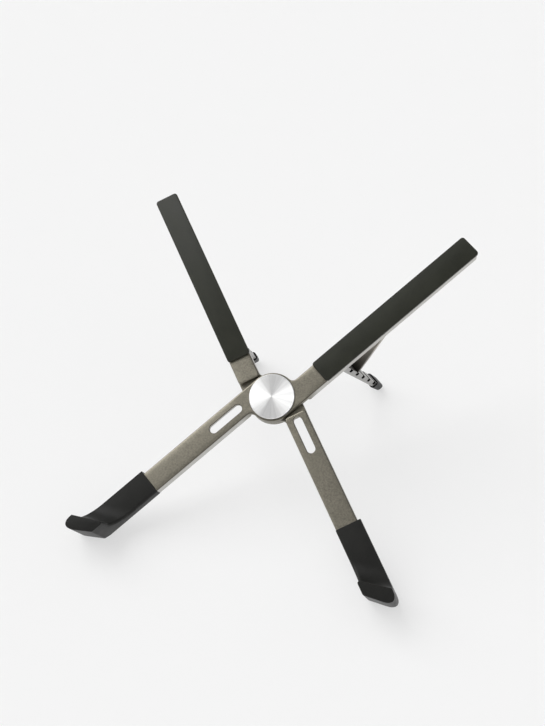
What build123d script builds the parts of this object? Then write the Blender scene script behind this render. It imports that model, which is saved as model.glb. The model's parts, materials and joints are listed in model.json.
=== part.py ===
from build123d import *
from math import acos, asin, atan2, cos, degrees, hypot, radians, sin
import os

# A folding laptop stand: two S-shaped bars that cross on a pivot and open like
# scissors, rubber hooks at their front ends, and a notched leg propped by a strut
# under each rear half. Lengths are in millimetres and angles in degrees.
#
# Each arm is drawn closed, in its own frame: X across, Y along the bar to the
# rear, Z square to the deck with 0 on the bar's top face, origin on the pivot.
# The lower arm is the mirror image of the upper one apart from its half lap.

# Bars of the two arms
bar_width = 12.3
bar_height = 6.2
bar_spacing = 2.0
bar_rear_reach = 133.8
bar_front_reach = 112.0
bar_corner_radius = 1.8
bar_edge_radius = 0.9
half_opening = 37.5

# Half lap and hub round the pivot
lap_thickness = 2.9
lap_clearance = 0.6
lap_play = 0.04
neck_radius = 3.0
hub_depth = 8.6

# Slot and pocket in the front half of a bar, channel under its rear half
slot_length = 21.4
slot_width = 4.7
slot_setback = 1.9
slot_chamfer = 0.3
pocket_wall = 1.6
pocket_roof = 2.4
pocket_setback = 1.4
pocket_land = 4.0
channel_wall = 1.0
channel_roof = 1.6
channel_start = 35.0
channel_end_wall = 1.6

# Pivot hardware
disc_radius = 12.3
disc_thickness = 1.75
disc_seat_depth = 0.75
disc_gap = 0.3
disc_chamfer = 0.25
bolt_radius = 3.0
bolt_head_radius = 5.0
bolt_head_height = 1.0
bolt_socket_radius = 2.0
bolt_socket_depth = 0.6
bolt_end_gap = 0.3
friction_washer_radius = 11.5
friction_washer_thickness = 0.4
nut_bay_radius = 6.6
nut_bay_depth = 4.0
spring_washer_radius = 5.6
spring_washer_rise = 0.55
spring_washer_thickness = 0.35
nut_radius = 5.4
nut_height = 2.2
plug_thickness = 0.9
plug_bevel = 0.3

# Rear pads
pad_width = 13.0
pad_length = 106.8
pad_start = 27.4
pad_thickness = 1.5
pad_corner_radius = 1.6
pad_edge_radius = 0.4

# Front hook boots
boot_length = 33.1
boot_seat_depth = 1.0
boot_outer_swell = 1.6
boot_inner_swell = 0.25
boot_roof = 0.8
boot_floor = 0.1
lip_overhang = 3.6
lip_height = 20.4
lip_thickness = 7.55
lip_lean = 1.0
lip_skew = 5.5
lip_throat_radius = 10.0
lip_corner_radius = 4.1
lip_end_radius = 1.3
lip_edge_radius = 0.9

# Rear legs, their caps and hinges
leg_pin_reach = 41.5
leg_pin_depth = 4.2
leg_pin_radius = 1.1
leg_width = 7.2
leg_thickness = 3.6
leg_length = 100.0
leg_edge_radius = 0.4
knuckle_radius = 2.1
knuckle_root = 5.0
leg_washer_radius = 1.9
leg_washer_play = 0.1
notch_first = 21.2
notch_pitch = 14.4
notch_count = 5
notch_mouth = 5.6
notch_floor = 3.8
notch_depth = 2.0
cap_length = 17.0
cap_floor = 3.0
cap_rim = 0.9
cap_flare = 0.6
cap_corner_radius = 1.5
cap_end_radius = 1.1
folded_gap = 0.4

# Struts that prop the legs
strut_pin_reach = 73.9
strut_pin_depth = 3.4
strut_pin_radius = 0.8
strut_length = 44.6
strut_width = 10.0
strut_thickness = 2.0
strut_eye_radius = 1.5
strut_taper = 8.0
toe_width = 7.2
toe_radius = 0.7
toe_bite = 0.65
toe_setback = 1.0
toe_notch_count = 2

# Fits, how far cuts run past a face, and the flats of the rubber on the floor
running_fit = 0.05
press_fit = 0.02
cut_margin = 1.0
boot_tread = 1.65
cap_tread = 1.8

# Plan of the arms, and the boots' mouths and lips measured from the pivot
bar_offset = (bar_spacing + bar_width) / 2
boss_radius = bar_spacing / 2 + bar_width
lap_step = boss_radius + lap_clearance
lap_floor = lap_thickness + friction_washer_thickness + lap_play
half_turn = Rot(0, 0, 180)
boot_start = bar_front_reach - boot_length
lip_front = bar_front_reach * cos(radians(half_opening)) + lip_overhang
lip_middle = bar_front_reach * sin(radians(half_opening)) + bar_offset * cos(radians(half_opening))

# Leg folded flat, just under the folded strut in the channel, and the two hinges
channel_width = bar_width - 2 * channel_wall
leg_drop = strut_pin_depth + strut_eye_radius + folded_gap - leg_pin_depth
leg_top = -leg_pin_depth - leg_drop
leg_axis = Axis((0, leg_pin_reach, -leg_pin_depth), (1, 0, 0))
strut_axis = Axis((0, strut_pin_reach, -strut_pin_depth), (1, 0, 0))

# Place of the strut's toe on the leg: along it from the hinge, and across it
toe_along = notch_first + notch_pitch * (toe_notch_count - 1) - toe_setback
toe_across = -leg_drop - toe_bite

# Triangle of leg hinge, strut hinge and toe, which sets the angle of the leg
hinge_run = strut_pin_reach - leg_pin_reach
hinge_rise = leg_pin_depth - strut_pin_depth
hinge_span = hypot(hinge_run, hinge_rise)
toe_span = hypot(toe_along, toe_across)
toe_corner = acos((hinge_span**2 + toe_span**2 - strut_length**2) / (2 * hinge_span * toe_span))
toe_direction = atan2(hinge_rise, hinge_run) - toe_corner
leg_angle = degrees(toe_direction - atan2(toe_across, toe_along))
toe_reach = leg_pin_reach + toe_span * cos(toe_direction)
toe_level = -leg_pin_depth + toe_span * sin(toe_direction)
strut_angle = degrees(atan2(toe_level + strut_pin_depth, toe_reach - strut_pin_reach))

# Tilt of the deck: the floor passes just inside the boots' front edge and the
# lowest corner of the caps, seen from the side as distance up the slope and level
leg_slope = radians(leg_angle)
cap_across = -leg_drop - leg_thickness - cap_flare
cap_reach = leg_pin_reach + leg_length * cos(leg_slope) - cap_across * sin(leg_slope)
cap_level = -leg_pin_depth + leg_length * sin(leg_slope) + cap_across * cos(leg_slope)
cap_edge = bar_offset + leg_width / 2 + cap_flare
cap_upslope = cap_reach * cos(radians(half_opening)) - cap_edge * sin(radians(half_opening))
boot_level = -bar_height - boot_floor
stance_run = cap_upslope + lip_front
stance_drop = boot_level - cap_level
stance_span = hypot(stance_run, stance_drop)
tilt = degrees(atan2(stance_drop, stance_run) - asin((cap_tread - boot_tread) / stance_span))
pivot_height = lip_front * sin(radians(tilt)) - boot_level * cos(radians(tilt)) - boot_tread


def bar_block(start, end, low, high, width):
    """Box along the middle of the rear bar."""
    centre = Pos(bar_offset, (start + end) / 2, (low + high) / 2)
    return centre * Box(width, end - start, high - low)


def cross_rod(reach, depth, radius, length):
    """Round rod across the rear bar, on its middle."""
    return Pos(bar_offset, reach, -depth) * Rot(0, 90, 0) * Cylinder(radius, length)


def ring(radius, bore, low, high):
    """Flat ring on the pivot's axis."""
    return Pos(0, 0, low) * extrude(Circle(radius) - Circle(bore), high - low)


def side_solid(sketch, width):
    """Sketch seen from the arm's side, made as thick as width on the rear bar's middle."""
    return Pos(bar_offset, 0, 0) * extrude(Plane.YZ * sketch, width / 2, both=True)


def arm_plan():
    """Outline of an arm from above: a round boss with a bar on each side of the pivot."""
    rear = Pos(bar_offset, bar_rear_reach / 2) * Rectangle(bar_width, bar_rear_reach)
    front = Pos(-bar_offset, -bar_front_reach / 2) * Rectangle(bar_width, bar_front_reach)
    plan = Circle(boss_radius) + rear + front
    bar_ends = plan.vertices().filter_by(lambda corner: abs(corner.Y) > boss_radius)
    plan = fillet(bar_ends, bar_corner_radius)
    inner_edge = bar_spacing / 2
    necks = plan.vertices().filter_by(
        lambda corner: abs(abs(corner.X) - inner_edge) < 0.001 and abs(corner.Y) < boss_radius
    )
    return fillet(necks, neck_radius)


def arm_bars():
    """The two bars at full height, beyond the half lap."""
    bars = Part()
    for reach, turn in ((bar_rear_reach, Rot()), (bar_front_reach, half_turn)):
        middle = Pos(bar_offset, (lap_step + reach) / 2)
        outline = middle * RectangleRounded(bar_width, reach - lap_step, bar_corner_radius)
        bars += turn * extrude(outline, -bar_height)
    return bars


def round_deck(arm):
    """Arm with the edges of its top faces rounded."""
    tops = arm.faces().filter_by_position(Axis.Z, -0.001, 0.001)
    edges = [edge for top in tops for edge in top.outer_wire().edges()]
    return fillet(edges, bar_edge_radius)


def arm_hollows():
    """Channel and pin holes of the rear bar, pocket and slot of the front bar."""
    below = -bar_height - cut_margin
    across = bar_width + 2 * cut_margin
    channel_end = bar_rear_reach - channel_end_wall
    hollows = bar_block(channel_start, channel_end, below, -channel_roof, channel_width)
    cap_swell = max(cap_rim, cap_flare)
    cap_room = leg_width + 2 * cap_swell + 2 * folded_gap
    cap_roof = leg_top + cap_swell + folded_gap
    hollows += bar_block(channel_start, bar_rear_reach + cut_margin, below, cap_roof, cap_room)
    hollows += cross_rod(leg_pin_reach, leg_pin_depth, leg_pin_radius + press_fit, across)
    hollows += cross_rod(strut_pin_reach, strut_pin_depth, strut_pin_radius + press_fit, across)
    pocket_start = lap_step + pocket_setback
    pocket_end = boot_start - pocket_land
    pocket_width = bar_width - 2 * pocket_wall
    hollows += half_turn * bar_block(pocket_start, pocket_end, below, -pocket_roof, pocket_width)
    slot_place = Pos(-bar_offset, -lap_step - slot_setback - slot_length / 2) * Rot(0, 0, 90)
    hollows += extrude(slot_place * SlotOverall(slot_length, slot_width), -bar_height)
    flare = SlotOverall(slot_length + 2 * slot_chamfer, slot_width + 2 * slot_chamfer)
    hollows += extrude(slot_place * flare, -slot_chamfer, taper=45)
    return hollows + boot_step()


def boot_step():
    """What is cut off all round the front end of a bar, where the boot sits on it."""
    start = boot_start - press_fit
    end = bar_front_reach + cut_margin
    block = bar_block(start, end, -bar_height - cut_margin, cut_margin, bar_width + 2 * cut_margin)
    core_width = bar_width - 2 * boot_seat_depth
    core = bar_block(0, 2 * end, boot_seat_depth - bar_height, -boot_seat_depth, core_width)
    return half_turn * (block - core)


def make_upper_arm():
    """Arm whose lap lies on top at the pivot, with the seats of the disc and the bolt."""
    arm = round_deck(extrude(arm_plan(), -lap_thickness) + arm_bars())
    head_top = -disc_seat_depth
    head_low = head_top - bolt_head_height
    arm -= Pos(0, 0, head_top) * extrude(Circle(disc_radius + disc_gap), bar_height)
    arm -= Pos(0, 0, head_low) * extrude(Circle(bolt_head_radius + press_fit), bar_height)
    arm -= extrude(Circle(bolt_radius + press_fit), -bar_height)
    return arm - arm_hollows()


def make_lower_arm():
    """Arm whose lap lies below at the pivot, with a hub that houses the nut."""
    deck = Pos(0, 0, -bar_height) * extrude(arm_plan(), bar_height - lap_floor)
    hub = Pos(0, 0, -hub_depth) * extrude(Circle(boss_radius), hub_depth - lap_floor)
    arm = round_deck(deck + arm_bars()) + hub
    arm -= extrude(Circle(bolt_radius + running_fit), -hub_depth)
    arm -= Pos(0, 0, -hub_depth) * extrude(Circle(nut_bay_radius), nut_bay_depth)
    return arm - arm_hollows()


def make_pivot_disc():
    """Cover disc let into the upper arm."""
    disc = Pos(0, 0, -disc_seat_depth) * extrude(Circle(disc_radius), disc_thickness)
    return chamfer(disc.edges().group_by(Axis.Z)[-1], disc_chamfer)


def make_pivot_bolt():
    """Flat-headed bolt with a hexagon socket, hidden under the disc."""
    head_top = -disc_seat_depth
    end_level = -hub_depth + plug_thickness + bolt_end_gap
    bolt = Pos(0, 0, head_top) * extrude(Circle(bolt_head_radius), -bolt_head_height)
    bolt += Pos(0, 0, head_top) * extrude(Circle(bolt_radius), end_level - head_top)
    socket = RegularPolygon(bolt_socket_radius, 6)
    return bolt - Pos(0, 0, head_top) * extrude(socket, -bolt_socket_depth)


def make_friction_washer():
    """Wide washer between the two laps, lying on the lower one."""
    high = -lap_thickness - lap_play
    return ring(friction_washer_radius, bolt_radius + 2 * running_fit, -lap_floor, high)


def make_spring_washer():
    """Conical washer that presses the nut away from the hub."""
    bay_top = -hub_depth + nut_bay_depth - running_fit
    foot = bay_top - spring_washer_rise
    bore = bolt_radius + 2 * running_fit
    section = Polygon(
        (bore, foot),
        (spring_washer_radius, bay_top - spring_washer_thickness),
        (spring_washer_radius, bay_top),
        (bore, foot + spring_washer_thickness),
        align=None,
    )
    return revolve(Plane.XZ * section, Axis.Z)


def make_pivot_nut():
    """Hexagon nut on the bolt, under the spring washer."""
    top = -hub_depth + nut_bay_depth - running_fit - spring_washer_rise
    outline = RegularPolygon(nut_radius, 6) - Circle(bolt_radius + press_fit)
    return Pos(0, 0, top) * extrude(outline, -nut_height)


def make_pivot_plug():
    """Plug that closes the nut's bay from below."""
    plug = Pos(0, 0, -hub_depth) * extrude(Circle(nut_bay_radius - press_fit), plug_thickness)
    return chamfer(plug.edges().group_by(Axis.Z)[0], plug_bevel)


def make_pad():
    """Long rubber pad on the top of the rear bar."""
    outline = Pos(bar_offset, pad_start + pad_length / 2) * RectangleRounded(
        pad_width, pad_length, pad_corner_radius
    )
    pad = extrude(outline, pad_thickness)
    return fillet(pad.edges().group_by(Axis.Z)[-1], pad_edge_radius)


def make_hook_boot():
    """Rubber sleeve on the front bar, with a lip that lies across the open stand."""
    low = -bar_height - boot_floor
    lip_back = lip_thickness - lip_front
    past_lip = bar_front_reach + lip_front
    profile = Polygon(
        (-past_lip, low),
        (-past_lip, lip_height),
        (lip_back, lip_height),
        (lip_back, boot_roof),
        (0, boot_roof),
        (0, low),
        align=None,
    )
    throat = profile.vertices().sort_by_distance((lip_back, boot_roof))[0]
    profile = fillet(throat, lip_throat_radius)
    hook = extrude(Plane.YZ * profile, past_lip, both=True) - lip_front_cut(low, past_lip)
    sleeve_width = bar_width + boot_outer_swell + boot_inner_swell
    sleeve = half_turn * bar_block(boot_start, past_lip, low, lip_height, sleeve_width)
    sleeve = Pos((boot_inner_swell - boot_outer_swell) / 2, 0, 0) * sleeve
    boot = sleeve & Rot(0, 0, half_opening) * hook
    boot = fillet(tall_edges(boot)[-1], lip_end_radius)
    boot = fillet(tall_edges(boot)[0], lip_corner_radius)
    lip_top = boot.faces().sort_by(Axis.Z)[-1]
    boot = fillet(lip_top.outer_wire().edges(), lip_edge_radius)
    play = press_fit - boot_seat_depth
    hollow = bar_block(0, bar_front_reach + press_fit, -bar_height - play, play, bar_width + 2 * play)
    return boot - half_turn * hollow


def lip_front_cut(low, past_lip):
    """What lies in front of the lip, whose front face leans back and turns a little inwards."""
    section = Polygon(
        (-lip_front, low),
        (lip_lean - lip_front, lip_height),
        (-2 * past_lip, lip_height),
        (-2 * past_lip, low),
        align=None,
    )
    cut = extrude(Plane.YZ * section, 2 * past_lip, both=True)
    middle = Pos(-lip_middle, -lip_front, 0)
    return middle * Rot(0, 0, lip_skew) * middle.inverse() * cut


def tall_edges(boot):
    """Edges that run from the boot's floor to the top of its lip, the outermost first."""
    tall = boot.edges().filter_by(lambda edge: edge.bounding_box().size.Z > lip_height)
    return tall.sort_by(Axis.X)


def make_leg():
    """Notched leg that folds into the channel, with a knuckle that turns on the pin."""
    leg_end = leg_pin_reach + leg_length - cap_floor
    leg = bar_block(leg_pin_reach, leg_end, leg_top - leg_thickness, leg_top, leg_width)
    leg = fillet(leg.edges().filter_by(Axis.Y), leg_edge_radius)
    for number in range(notch_count):
        middle = leg_pin_reach + notch_first + notch_pitch * number
        notch = Polygon(
            (middle - notch_mouth / 2, leg_top),
            (middle - notch_floor / 2, leg_top - notch_depth),
            (middle + notch_floor / 2, leg_top - notch_depth),
            (middle + notch_mouth / 2, leg_top),
            align=None,
        )
        leg -= side_solid(notch, leg_width)
    eye = Pos(leg_pin_reach, -leg_pin_depth) * Circle(knuckle_radius)
    root_middle = Pos(leg_pin_reach + knuckle_root / 2, leg_top - leg_thickness / 2)
    root = root_middle * Rectangle(knuckle_root, leg_thickness - 2 * leg_edge_radius)
    knuckle = make_hull((eye + root).edges())
    leg += side_solid(knuckle, leg_width)
    leg -= cross_rod(leg_pin_reach, leg_pin_depth, leg_pin_radius + running_fit, bar_width)
    return leg.rotate(leg_axis, leg_angle)


def make_foot_cap():
    """Rubber cap on the end of the leg, a little wider towards the floor."""
    mouth = leg_pin_reach + leg_length - cap_length
    sole = leg_pin_reach + leg_length
    level = leg_top - leg_thickness / 2
    sections = []
    for reach, swell in ((mouth, cap_rim), (sole, cap_flare)):
        place = Plane((bar_offset, reach, level), x_dir=(1, 0, 0), z_dir=(0, 1, 0))
        size = (leg_width + 2 * swell, leg_thickness + 2 * swell)
        sections.append(place * RectangleRounded(*size, cap_corner_radius))
    cap = loft(sections)
    cap = fillet(cap.edges().group_by(Axis.Y)[-1], cap_end_radius)
    low = leg_top - leg_thickness - press_fit
    pocket_width = leg_width + 2 * press_fit
    pocket = bar_block(0, sole - cap_floor + press_fit, low, leg_top + press_fit, pocket_width)
    return (cap - pocket).rotate(leg_axis, leg_angle)


def make_leg_pin():
    """Hinge pin of the leg, flush with the bar's sides."""
    return cross_rod(leg_pin_reach, leg_pin_depth, leg_pin_radius, bar_width)


def make_leg_washers():
    """Two washers on the leg's pin, which keep its knuckle in the middle of the channel."""
    thickness = (channel_width - leg_width) / 2 - leg_washer_play
    washers = []
    for side in (-1, 1):
        across = side * (channel_width - thickness) / 2
        washer = cross_rod(leg_pin_reach, leg_pin_depth, leg_washer_radius, thickness)
        washer -= cross_rod(leg_pin_reach, leg_pin_depth, leg_pin_radius + running_fit, bar_width)
        washers.append(Pos(across, 0, 0) * washer)
    return Compound(children=washers)


def make_strut():
    """Flat strut with an eye on its pin, narrowing to a thin toe in a notch of the leg."""
    shoulder = strut_length - strut_taper
    plate = Pos(shoulder / 2, 0) * Rectangle(shoulder, strut_thickness)
    toe = Pos(strut_length - toe_radius, 0) * Circle(toe_radius)
    outline = make_hull((plate + toe).edges()) + Circle(strut_eye_radius)
    outline -= Circle(strut_pin_radius + running_fit)
    strut = side_solid(Pos(strut_pin_reach, -strut_pin_depth) * outline, strut_width)
    sides = Polygon(
        (-strut_width / 2, -strut_eye_radius),
        (strut_width / 2, -strut_eye_radius),
        (strut_width / 2, strut_eye_radius),
        (toe_width / 2, strut_length),
        (-toe_width / 2, strut_length),
        (-strut_width / 2, strut_eye_radius),
        align=None,
    )
    strut &= extrude(Pos(bar_offset, strut_pin_reach) * sides, -bar_height)
    return strut.rotate(strut_axis, strut_angle)


def make_strut_pin():
    """Hinge pin of the strut, flush with the bar's sides."""
    return cross_rod(strut_pin_reach, strut_pin_depth, strut_pin_radius, bar_width)


def on_upper_arm(piece):
    """Piece swung out with the upper arm, whose rear half points to the right."""
    return Rot(0, 0, -half_opening) * piece


def on_lower_arm(piece):
    """Piece mirrored and swung out with the lower arm, whose rear half points to the left."""
    return Rot(0, 0, half_opening) * mirror(piece, about=Plane.YZ)


pieces = {
    "upper_arm": on_upper_arm(make_upper_arm()),
    "lower_arm": on_lower_arm(make_lower_arm()),
    "pivot_disc": make_pivot_disc(),
    "pivot_bolt": make_pivot_bolt(),
    "friction_washer": make_friction_washer(),
    "spring_washer": make_spring_washer(),
    "pivot_nut": make_pivot_nut(),
    "pivot_plug": make_pivot_plug(),
    "left_hook_boot": on_upper_arm(make_hook_boot()),
    "right_hook_boot": on_lower_arm(make_hook_boot()),
}
rear_pieces = {
    "pad": make_pad(),
    "leg": make_leg(),
    "foot_cap": make_foot_cap(),
    "leg_pin": make_leg_pin(),
    "leg_washers": make_leg_washers(),
    "strut": make_strut(),
    "strut_pin": make_strut_pin(),
}
for name, piece in rear_pieces.items():
    pieces["right_" + name] = on_upper_arm(piece)
    pieces["left_" + name] = on_lower_arm(piece)

# The deck is tilted, the rubber is cut flat at the floor, and the origin goes to
# the middle of the footprint
stance = Pos(0, 0, pivot_height) * Rot(tilt, 0, 0)
pieces = {name: stance * piece for name, piece in pieces.items()}
ground_size = 4 * bar_rear_reach
ground = Pos(0, 0, -ground_size / 2) * Box(ground_size, ground_size, ground_size)
for name in ("left_hook_boot", "right_hook_boot", "left_foot_cap", "right_foot_cap"):
    pieces[name] -= ground
footprint = Compound(list(pieces.values())).bounding_box()
setback = -footprint.center().Y

os.makedirs("parts", exist_ok=True)
for name, piece in pieces.items():
    export_step(Pos(0, setback, 0) * piece, f"parts/{name}.step")
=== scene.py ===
"""Looks of a folding laptop stand: satin bars on a spun pivot disc, rubber hooks, pads and foot caps."""

import json
from math import cos, pi, radians, sin, tan

import bmesh
import bpy
from bpy.props import FloatProperty, FloatVectorProperty, IntProperty, PointerProperty
from mathutils import Matrix, Vector


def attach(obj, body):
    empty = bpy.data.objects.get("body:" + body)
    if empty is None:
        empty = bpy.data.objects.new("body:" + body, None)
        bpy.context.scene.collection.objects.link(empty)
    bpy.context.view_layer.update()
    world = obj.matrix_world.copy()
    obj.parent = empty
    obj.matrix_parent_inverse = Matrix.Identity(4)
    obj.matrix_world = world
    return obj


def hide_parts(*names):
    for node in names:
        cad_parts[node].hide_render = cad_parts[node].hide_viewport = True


bl_info = {
    "name": "Folding Laptop Stand",
    "version": (1, 0, 0),
    "blender": (4, 5, 0),
    "location": "View3D > Sidebar > Laptop Stand",
    "description": "Dresses the frame of a folding laptop stand with rubber pieces, finishes and a stage",
    "category": "Object",
}

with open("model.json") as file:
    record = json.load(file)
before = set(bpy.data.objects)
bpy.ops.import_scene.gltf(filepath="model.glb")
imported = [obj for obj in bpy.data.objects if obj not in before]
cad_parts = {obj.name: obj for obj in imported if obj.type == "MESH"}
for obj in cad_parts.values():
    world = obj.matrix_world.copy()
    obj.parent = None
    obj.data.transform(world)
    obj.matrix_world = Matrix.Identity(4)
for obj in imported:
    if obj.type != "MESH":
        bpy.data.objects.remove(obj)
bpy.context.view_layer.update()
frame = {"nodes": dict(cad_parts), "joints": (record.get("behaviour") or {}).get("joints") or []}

SIDES = ("left", "right")
JOINTS = {joint["name"]: joint for joint in frame["joints"]}

# Which arm carries the rear pieces and the hook of each side
REAR_ARM = {"left": "lower", "right": "upper"}
FRONT_ARM = {"left": "upper", "right": "lower"}

# Frames of the stand: the deck lies on the bars' top faces, with its origin on the pivot
DECK_NORMAL = Vector(JOINTS["scissor"]["axis"]).normalized()
DECK_RIGHT = Vector((1.0, 0.0, 0.0))
DECK_REAR = DECK_NORMAL.cross(DECK_RIGHT)
PIVOT = Vector(JOINTS["scissor"]["pos_m"])
DECK = Matrix.Translation(PIVOT) @ Matrix((DECK_RIGHT, DECK_REAR, DECK_NORMAL)).transposed().to_4x4()
HALF_OPENING = radians(JOINTS["scissor"]["range_deg"][1] / 2)
ARM_TURN = {"upper": -HALF_OPENING, "lower": HALF_OPENING}

# Noise values between which sparkle, grain, clouds and dust run from none to full
SPARKLE_BAND = (0.32, 0.68)
GRAIN_BAND = (0.3, 0.7)
CLOUD_BAND = (0.35, 0.65)
DUST_BAND = (0.35, 0.75)

# How strongly finer noise breaks up the grain of metal and the dust on rubber
BREAKUP = 0.6
DUST_BREAKUP = 0.65

# Shares of a colour at the dark and the light end of what varies it
SPARKLE_TINTS = (0.78, 1.22)
METAL_TINTS = (0.9, 1.1)
RUBBER_TINTS = (0.86, 1.14)
RING_TINTS = (0.95, 1.05)
CLOUD_TINT = 0.97
RAY_TINT = 0.88
DUST_TINT = 1.35
# The next two darken to painted shade: on a bar's rounded right edge and at a strut's toe
EDGE_SHADE_TINT = 0.15
TOE_SHADE_TINT = 0.05

# Most that clouds, the painted shade on a bar's rounded right edge and the painted shade at a strut's toe
# cover
CLOUD_COVER = 0.5
EDGE_SHADE_COVER = 0.75
TOE_SHADE_COVER = 0.95

# How far a face points off the deck where a bar's side gives way to its top, where the painted shade
# on its rounded edge comes in and goes out, and how far it points right, away from the key lamp, where that
# shade comes in
FLANK_TILT = (0.35, 0.7)
SHADE_LINE_START_TILT = (0.5, 0.7)
SHADE_LINE_END_TILT = (0.85, 0.97)
SHADE_LINE_SIDE_TILT = (0.1, 0.3)

# How far a face points along a leg's hinge where the painted shade in the notches goes out, and how far it
# points back to the hinge where the painted shade on the caps' mouths comes in
LEG_SIDE_TILT = (0.4, 0.6)
CAP_MOUTH_TILT = (0.45, 0.75)

# Shares of the hub's radius between which the hub gives way to the straight bar
HUB_FADE = (0.9, 1.3)

# Roughness at the smooth and the rough end of what varies it
BAR_ROUGHNESS = (0.35, 0.46)
STEEL_ROUGHNESS = (0.28, 0.42)
LEG_ROUGHNESS = (0.34, 0.46)
STRUT_ROUGHNESS = (0.36, 0.50)
DISC_ROUGHNESS = (0.34, 0.42)
PAD_ROUGHNESS = (0.36, 0.46)
BOOT_ROUGHNESS = (0.42, 0.54)
PLASTIC_ROUGHNESS = (0.35, 0.5)
CAP_ROUGHNESS = (0.42, 0.52)

# Sizes of what varies the finishes, and heights of their fine relief
CLOUD_SIZE = 0.018
DUST_SIZE = 0.012
METAL_GRAIN = 0.0009
CAP_GRAIN = 0.0006
SPARKLE_RELIEF = 0.000015
FINE_RELIEF = 0.00002
RUBBER_RELIEF = 0.00003
RING_RELIEF = 0.000004

# Rings for each metre of the disc's radius, and rays round it
RING_SCALE = 9000.0
RAY_SCALE = 26.0

# Depths under a leg's notched face between which the painted shade of a notch comes in
NOTCH_FADE = (0.0002, 0.0003)

# Plain colours that no setting holds
STEEL = (0.45, 0.45, 0.46)
PLASTIC = (0.05, 0.05, 0.05)
# The next two are painted shade: inside a leg's notches, and on the face of a cap's mouth
NOTCH_SHADE = (0.008, 0.008, 0.008)
MOUTH_SHADE = (0.006, 0.006, 0.006)
WHITE = (1.0, 1.0, 1.0)

# Angles between faces from which an edge is shaded sharp, or rounded as a moulded edge
DISC_SHARP = radians(30)
PAD_SHARP = radians(40)
FLOOR_SHARP = radians(40)
MOULDED_SHARP = radians(35)
MOULDED_EDGE = radians(28)

# Facets of the rounds: a pad's corners and edge, a hook's throat, ends and edges, a cap's corners and sole
PAD_CORNER_STEPS = 8
PAD_EDGE_STEPS = 4
THROAT_STEPS = 20
LIP_END_STEPS = 12
MOULDED_EDGE_STEPS = 6
CAP_CORNER_STEPS = 6
CAP_END_STEPS = 5

# Shares of the disc's radius where its top face has further rings of points
DISC_RINGS = (0.5, 0.02)

# Share of the cap's rim that is left at its bevelled mouth, and its tightest corner
CAP_BEVEL_SHARE = 0.7
CAP_LEAST_CORNER = 0.0003

# Camera's sensor in millimetres, and the nearest that it sees
SENSOR_WIDTH = 36.0
NEAREST_VIEW = 0.01


def arm_frame(arm):
    """Frame of an arm: X across it, Y along its rear half, Z off the deck."""
    return DECK @ Matrix.Rotation(ARM_TURN[arm], 4, "Z")


def leg_hinge(side):
    """Middle of a leg's hinge in the frame of its arm."""
    return arm_frame(REAR_ARM[side]).inverted() @ Vector(JOINTS[side + "_leg_fold"]["pos_m"])


def bar_offset(arm):
    """How far the middle of an arm's rear half lies beside the pivot."""
    side = next(side for side, name in REAR_ARM.items() if name == arm)
    return leg_hinge(side).x


def fold_frame(side, piece):
    """Frame of a leg or strut swung out: X along its hinge, Y down the piece, Z off the deck once folded."""
    joint = JOINTS[f"{side}_{piece}_fold"]
    arm = arm_frame(REAR_ARM[side])
    hinge = arm.inverted() @ Vector(joint["pos_m"])
    swing = Matrix.Rotation(-radians(joint["range_deg"][1]), 4, "X")
    return arm @ Matrix.Translation(hinge) @ swing


def length_setting(name, description, default):
    """Setting that holds a length in metres."""
    return FloatProperty(name=name, description=description, default=default, unit="LENGTH")


def share_setting(name, description, default):
    """Setting that holds a share from 0 to 1."""
    return FloatProperty(
        name=name, description=description, default=default, min=0.0, max=1.0, subtype="FACTOR",
    )


def strength_setting(name, description, default):
    """Setting that holds the strength of a light."""
    return FloatProperty(name=name, description=description, default=default, min=0.0)


def angle_setting(name, description, default):
    """Setting that holds an angle."""
    return FloatProperty(name=name, description=description, default=default, unit="ROTATION")


def colour_setting(name, description, default):
    """Setting that holds a linear colour."""
    return FloatVectorProperty(
        name=name, description=description, default=default, subtype="COLOR", size=3, min=0.0, max=1.0,
    )


class StandBars(bpy.types.PropertyGroup):
    """Sizes and finish of the two crossing bars."""

    width: length_setting("Bar width", "Width of a bar", 0.0123)
    height: length_setting("Bar height", "Height of a bar", 0.0062)
    front_reach: length_setting("Front reach", "Distance of a bar's front end from the pivot", 0.1120)
    hub_radius: length_setting("Hub radius", "Radius within which a bar belongs to its hub", 0.0160)
    crown: length_setting("Crown", "Fall of the top face towards its long edges", 0.00025)
    grain: length_setting("Grain", "Size of the sparkle in the metal", 0.0009)
    top_colour: colour_setting("Top colour", "Satin gunmetal of the bars' top faces", (0.235, 0.219, 0.178))
    side_colour: colour_setting("Side colour", "Lighter metal of the bars' sides", (0.58, 0.57, 0.545))
    side_roughness: share_setting("Side roughness", "How much rougher the sides are than the top", 0.2)


class StandPivot(bpy.types.PropertyGroup):
    """Spun cover disc of the pivot."""

    radius: length_setting("Disc radius", "Radius of the disc", 0.0123)
    thickness: length_setting("Disc thickness", "Thickness of the disc", 0.00175)
    seat_depth: length_setting("Seat depth", "Depth of the disc's seat in the bar", 0.00075)
    chamfer: length_setting("Rim chamfer", "Bright bevel round the disc", 0.00025)
    colour: colour_setting("Disc colour", "Bright aluminium", (0.95, 0.95, 0.945))
    segments: IntProperty(name="Segments", description="Facets round the disc", default=160, min=24)


class StandPads(bpy.types.PropertyGroup):
    """Long rubber pads of the rear halves."""

    width: length_setting("Pad width", "Width of a pad", 0.0130)
    length: length_setting("Pad length", "Length of a pad", 0.1068)
    start: length_setting("Pad start", "Distance of a pad from the pivot", 0.0274)
    thickness: length_setting("Pad thickness", "Height of a pad above the bar", 0.0015)
    corner: length_setting("Corner radius", "Radius of a pad's corners", 0.0016)
    edge: length_setting("Edge radius", "Round of the top edge", 0.0004)
    colour: colour_setting("Pad colour", "Satin warm black", (0.0125, 0.0135, 0.0078))


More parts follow.
